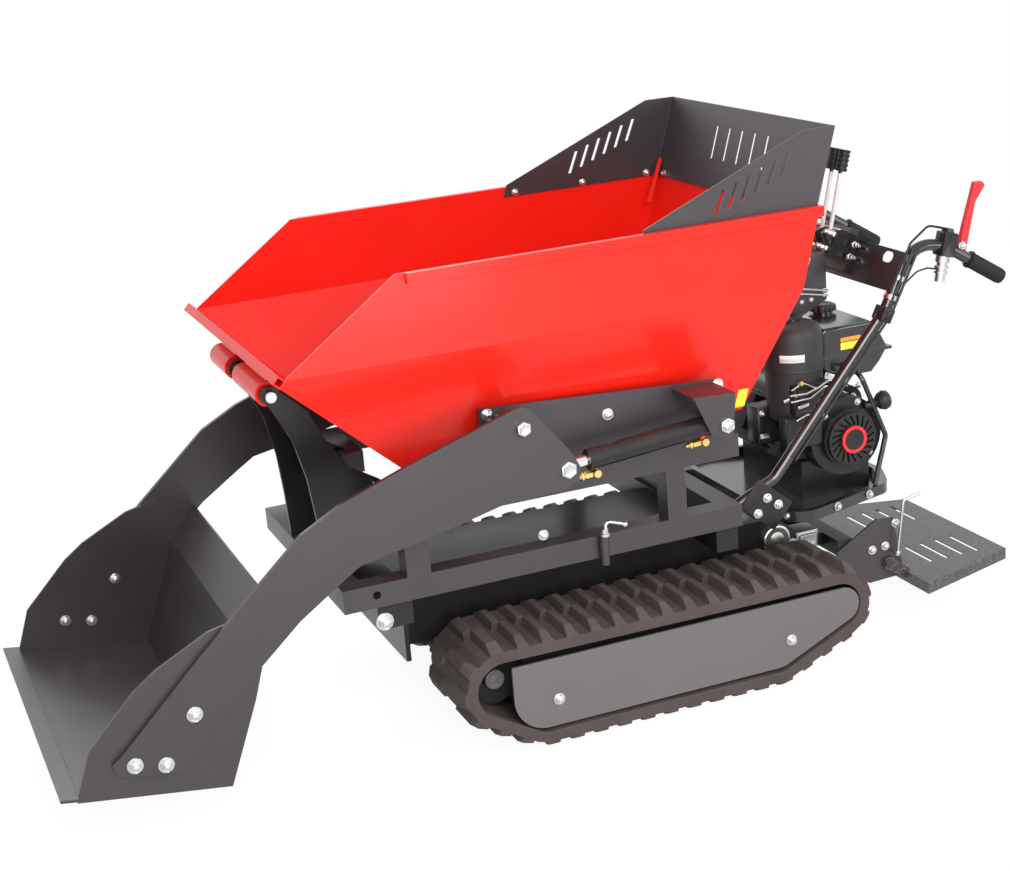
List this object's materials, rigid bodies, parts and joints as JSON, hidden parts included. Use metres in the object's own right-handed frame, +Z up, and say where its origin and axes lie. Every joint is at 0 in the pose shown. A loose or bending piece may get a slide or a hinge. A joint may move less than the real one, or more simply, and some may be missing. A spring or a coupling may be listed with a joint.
{
  "type": "tracked site dumper with loading shovel",
  "caption": "Walk-behind tracked dumper with a front-tipping skip, a self-loading shovel on two arms, a rear engine, handlebars and a folding platform.",
  "frame": {"origin": "on the ground under the middle of the machine's box", "axes": "+X the direction of travel, towards the shovel; +Y the left side; +Z up"},
  "size_m": [2.387, 0.892, 1.272],
  "materials": {
    "red_paint": "gloss",
    "dark_grey_paint": "satin",
    "black_paint": "satin",
    "grey_cover_paint": "satin",
    "track_rubber": "matte",
    "zinc_steel": "bright",
    "chrome_rod": "polished",
    "engine_plastic": "matte",
    "engine_alloy": "cast",
    "grip_rubber": "matte",
    "red_lever": "gloss",
    "wheel_iron": "rough"
  },
  "bodies": {
    "chassis": {"chassis": "black_paint", "track_left": "track_rubber", "track_right": "track_rubber", "track_cover_left": "grey_cover_paint", "track_cover_right": "grey_cover_paint", "side_frame_left": "wheel_iron", "side_frame_right": "wheel_iron", "idler_left": "wheel_iron", "idler_right": "wheel_iron", "sprocket_left": "wheel_iron", "sprocket_right": "wheel_iron", "frame": "dark_grey_paint", "swan_plate_near": "black_paint", "swan_plate_middle": "black_paint", "swan_plate_far": "black_paint", "skip_pin": "zinc_steel", "tip_ram_foot": "black_paint", "loader_bracket_left": "dark_grey_paint", "loader_bracket_right": "dark_grey_paint", "engine_tray": "black_paint", "engine_block": "engine_alloy", "recoil_starter": "engine_plastic", "fuel_tank": "engine_plastic", "air_filter": "engine_plastic", "silencer": "black_paint", "guard_bar": "black_paint", "handlebar_left": "black_paint", "handlebar_right": "black_paint", "grip_left": "grip_rubber", "grip_right": "grip_rubber", "cross_plate": "black_paint", "valve_block": "engine_alloy", "clutch_lever": "red_lever", "platform_hanger_left": "dark_grey_paint", "platform_hanger_right": "dark_grey_paint"},
    "skip": {"skip": "red_paint", "skip_lip": "red_paint", "skip_knuckle_middle": "red_paint", "skip_knuckle_far": "red_paint", "skip_guard": "dark_grey_paint", "skip_ram_lugs": "black_paint"},
    "tip_barrel": {"tip_ram_barrel": "black_paint"},
    "tip_rod": {"tip_ram_rod": "chrome_rod"},
    "loader": {"arm_left": "dark_grey_paint", "arm_right": "dark_grey_paint", "bucket_shell": "dark_grey_paint", "bucket_cheek_left": "dark_grey_paint", "bucket_cheek_right": "dark_grey_paint", "bucket_edge": "dark_grey_paint"},
    "lift_barrel_left": {"lift_ram_barrel_left": "black_paint"},
    "lift_rod_left": {"lift_ram_rod_left": "chrome_rod"},
    "lift_barrel_right": {"lift_ram_barrel_right": "black_paint"},
    "lift_rod_right": {"lift_ram_rod_right": "chrome_rod"},
    "platform": {"platform": "dark_grey_paint"}
  },
  "joints": [
    {"name": "skip_tip", "type": "hinge", "parent": "chassis", "child": "skip", "pos_m": [0.608, 0, 0.835], "axis": [0, 1, 0], "range_deg": [0, 83]},
    {"name": "tip_ram_swing", "type": "hinge", "parent": "chassis", "child": "tip_barrel", "pos_m": [0.452, 0, 0.42], "axis": [0, -1, 0], "range_deg": [-65.91, 1]},
    {"name": "tip_ram_extend", "type": "slide", "parent": "tip_barrel", "child": "tip_rod", "axis": [-0.9603, 0, 0.279], "range_m": [-0.002, 0.527]},
    {"name": "loader_lift", "type": "hinge", "parent": "chassis", "child": "loader", "pos_m": [0.16, 0, 0.749], "axis": [0, -1, 0], "range_deg": [-4, 125]},
    {"name": "lift_ram_swing_left", "type": "hinge", "parent": "chassis", "child": "lift_barrel_left", "pos_m": [-0.316, 0.396, 0.67], "axis": [0, -1, 0], "range_deg": [-1.33, 11.38]},
    {"name": "lift_ram_extend_left", "type": "slide", "parent": "lift_barrel_left", "child": "lift_rod_left", "axis": [0.9969, 0, -0.0785], "range_m": [-0.0097, 0.2429]},
    {"name": "lift_ram_swing_right", "type": "hinge", "parent": "chassis", "child": "lift_barrel_right", "pos_m": [-0.316, -0.396, 0.67], "axis": [0, -1, 0], "range_deg": [-1.33, 11.38]},
    {"name": "lift_ram_extend_right", "type": "slide", "parent": "lift_barrel_right", "child": "lift_rod_right", "axis": [0.9969, 0, -0.0785], "range_m": [-0.0097, 0.2429]},
    {"name": "platform_fold", "type": "hinge", "parent": "chassis", "child": "platform", "pos_m": [-0.856, 0, 0.16], "axis": [0, 1, 0], "range_deg": [0, 80]}
  ],
  "couplings": [
    {"joint": "tip_ram_swing", "follows": "skip_tip", "ratio": -0.7821},
    {"joint": "tip_ram_extend", "follows": "skip_tip", "m_per_rad": 0.3624},
    {"joint": "lift_ram_swing_left", "follows": "loader_lift", "ratio": 0.083},
    {"joint": "lift_ram_extend_left", "follows": "loader_lift", "m_per_rad": 0.1104},
    {"joint": "lift_ram_swing_right", "follows": "loader_lift", "ratio": 0.083},
    {"joint": "lift_ram_extend_right", "follows": "loader_lift", "m_per_rad": 0.1104}
  ]
}
